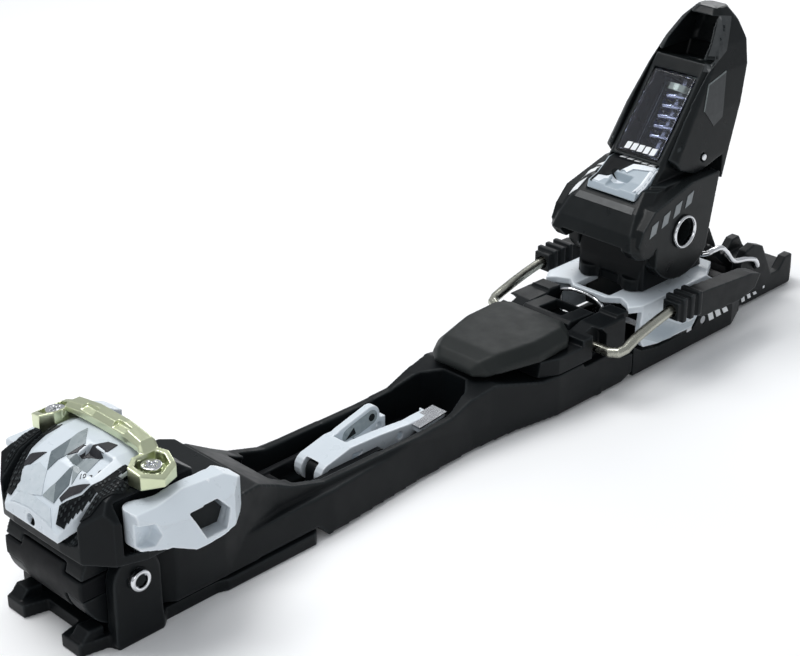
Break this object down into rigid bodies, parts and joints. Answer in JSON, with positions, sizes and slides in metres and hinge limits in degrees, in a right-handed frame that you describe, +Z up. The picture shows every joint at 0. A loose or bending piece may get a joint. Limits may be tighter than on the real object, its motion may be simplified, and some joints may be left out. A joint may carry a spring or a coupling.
{
  "type": "touring binding",
  "caption": "Frame-type ski touring binding with a pivoting toe piece, sliding frame, ski brake, step-in heel and climbing aid, closed and locked down.",
  "frame": {"origin": "middle of the binding's footprint, on the ski's top surface", "axes": "-Y points to the boot's toe, +Y to its heel, +X is the skier's left, +Z up from the ski"},
  "size_m": [0.096, 0.483, 0.1656],
  "materials": {
    "black_plastic": "moulded glass-filled plastic, fine grain, satin",
    "soft_plastic": "smooth soft heel rest, satin",
    "slide_plate": "smooth low-friction plate",
    "white_plastic": "moulded white plastic, smooth satin gloss",
    "champagne_metal": "bright anodised, pale yellow-green",
    "steel": "plated bright steel",
    "clear_plastic": "clear window, faint blue tint"
  },
  "bodies": {
    "ski_mounts": {"front_base": "black_plastic", "front_screw_1": "steel", "front_screw_2": "steel", "front_screw_3": "steel", "front_screw_4": "steel", "pivot_axle": "steel", "axle_screw_left": "steel", "axle_screw_right": "steel", "rear_base": "black_plastic", "rear_screw_1": "steel", "rear_screw_2": "steel", "rear_screw_3": "steel", "rear_screw_4": "steel", "rear_catch": "steel"},
    "carriage": {"pivot_carriage": "black_plastic"},
    "frame": {"frame_tub": "black_plastic", "lever_pin": "steel", "toe_housing": "black_plastic", "toe_cover": "white_plastic", "toe_bracket": "champagne_metal", "bracket_screw_left": "steel", "bracket_screw_right": "steel", "wing_pin_left": "steel", "wing_pin_right": "steel", "toe_spring": "steel", "afd_base": "black_plastic", "brake_housing": "black_plastic", "heel_pad": "soft_plastic", "brake_spring": "steel", "heel_plate": "white_plastic", "frame_tail": "black_plastic", "lock_bar": "steel"},
    "lever": {"mode_lever": "white_plastic"},
    "link": {"toggle_link": "black_plastic", "link_pin": "steel"},
    "wing_left": {"toe_wing_left": "white_plastic"},
    "wing_right": {"toe_wing_right": "white_plastic"},
    "toe_screw": {"toe_din_screw": "steel"},
    "toe_marker": {"toe_indicator": "champagne_metal"},
    "boot_slide": {"afd_plate": "slide_plate"},
    "brake": {"brake_wire": "steel", "brake_tip_left": "black_plastic", "brake_tip_right": "black_plastic"},
    "pedal": {"brake_pedal": "black_plastic"},
    "heel_slider": {"heel_carriage": "black_plastic", "heel_axle": "steel"},
    "adjuster": {"length_screw": "steel"},
    "heel_cup": {"heel_housing": "black_plastic", "heel_cradle": "white_plastic", "heel_window": "clear_plastic", "heel_ring_left": "steel", "heel_ring_right": "steel", "heel_spring": "steel", "lever_hinge_pin_left": "steel", "lever_hinge_pin_right": "steel"},
    "heel_screw": {"heel_din_screw": "steel"},
    "heel_marker": {"heel_indicator": "champagne_metal"},
    "heel_handle": {"heel_lever": "black_plastic"},
    "low_step": {"climb_lever": "black_plastic"},
    "high_step": {"climb_bail": "steel"}
  },
  "joints": [
    {"name": "frame_tilt", "type": "hinge", "parent": "ski_mounts", "child": "carriage", "pos_m": [0, -0.217, 0.028], "axis": [1, 0, 0], "range_deg": [0, 75]},
    {"name": "frame_slide", "type": "slide", "parent": "carriage", "child": "frame", "axis": [0, 1, 0], "range_m": [0, 0.025]},
    {"name": "mode_lever_turn", "type": "hinge", "parent": "frame", "child": "lever", "pos_m": [0, -0.097, 0.013], "axis": [1, 0, 0], "range_deg": [0, 100]},
    {"name": "toggle_link_turn", "type": "hinge", "parent": "lever", "child": "link", "pos_m": [0, -0.071, 0.013], "axis": [1, 0, 0], "range_deg": [-75, 0]},
    {"name": "wing_left_turn", "type": "hinge", "parent": "frame", "child": "wing_left", "pos_m": [0.035, -0.219, 0.052], "axis": [0, 0, 1], "range_deg": [-35, 0], "stiffness_Nm_per_rad": 5},
    {"name": "wing_right_turn", "type": "hinge", "parent": "frame", "child": "wing_right", "pos_m": [-0.035, -0.219, 0.052], "axis": [0, 0, 1], "range_deg": [0, 35], "stiffness_Nm_per_rad": 5},
    {"name": "toe_din_turn", "type": "hinge", "parent": "frame", "child": "toe_screw", "pos_m": [0, -0.22, 0.051], "axis": [0, 1, 0], "range_deg": [-1080, 0]},
    {"name": "toe_indicator_slide", "type": "slide", "parent": "frame", "child": "toe_marker", "axis": [0, 1, 0], "range_m": [-0.0036, 0]},
    {"name": "afd_slide", "type": "slide", "parent": "frame", "child": "boot_slide", "axis": [1, 0, 0], "range_m": [-0.008, 0.008], "stiffness_N_per_m": 500},
    {"name": "brake_turn", "type": "hinge", "parent": "frame", "child": "brake", "pos_m": [0, 0.058, 0.0268], "axis": [1, 0, 0], "range_deg": [-55, 0]},
    {"name": "pedal_turn", "type": "hinge", "parent": "frame", "child": "pedal", "pos_m": [0, 0.0535, 0.0335], "axis": [1, 0, 0], "range_deg": [0, 20]},
    {"name": "heel_slide", "type": "slide", "parent": "frame", "child": "heel_slider", "axis": [0, 1, 0], "range_m": [-0.015, 0]},
    {"name": "length_screw_turn", "type": "hinge", "parent": "frame", "child": "adjuster", "pos_m": [0, 0.13, 0.025], "axis": [0, 1, 0], "range_deg": [-3601, 0]},
    {"name": "heel_open", "type": "hinge", "parent": "heel_slider", "child": "heel_cup", "pos_m": [0, 0.1215, 0.0675], "axis": [1, 0, 0], "range_deg": [-45, 0]},
    {"name": "heel_lever_turn", "type": "hinge", "parent": "heel_cup", "child": "heel_handle", "pos_m": [0, 0.142, 0.099], "axis": [1, 0, 0], "range_deg": [-12, 0]},
    {"name": "heel_din_turn", "type": "hinge", "parent": "heel_cup", "child": "heel_screw", "pos_m": [0, 0.126, 0.086], "axis": [0, 0.548, 0.8365], "range_deg": [0, 1050]},
    {"name": "heel_indicator_slide", "type": "slide", "parent": "heel_cup", "child": "heel_marker", "axis": [0, 0.548, 0.8365], "range_m": [0, 0.0035]},
    {"name": "climb_lever_turn", "type": "hinge", "parent": "frame", "child": "low_step", "pos_m": [0, 0.196, 0.017], "axis": [1, 0, 0], "range_deg": [-75, 0]},
    {"name": "climb_bail_turn", "type": "hinge", "parent": "frame", "child": "high_step", "pos_m": [0, 0.2, 0.022], "axis": [1, 0, 0], "range_deg": [-235, 0]}
  ],
  "couplings": [
    {"joint": "mode_lever_turn", "follows": "frame_slide", "rad_per_m": 69.81},
    {"joint": "toggle_link_turn", "follows": "frame_slide", "rad_per_m": -52.3},
    {"joint": "toe_din_turn", "follows": "toe_indicator_slide", "rad_per_m": 5235.6},
    {"joint": "pedal_turn", "follows": "brake_turn", "ratio": -0.3636},
    {"joint": "length_screw_turn", "follows": "heel_slide", "rad_per_m": 4188.8},
    {"joint": "heel_din_turn", "follows": "heel_indicator_slide", "rad_per_m": 5235.6}
  ]
}
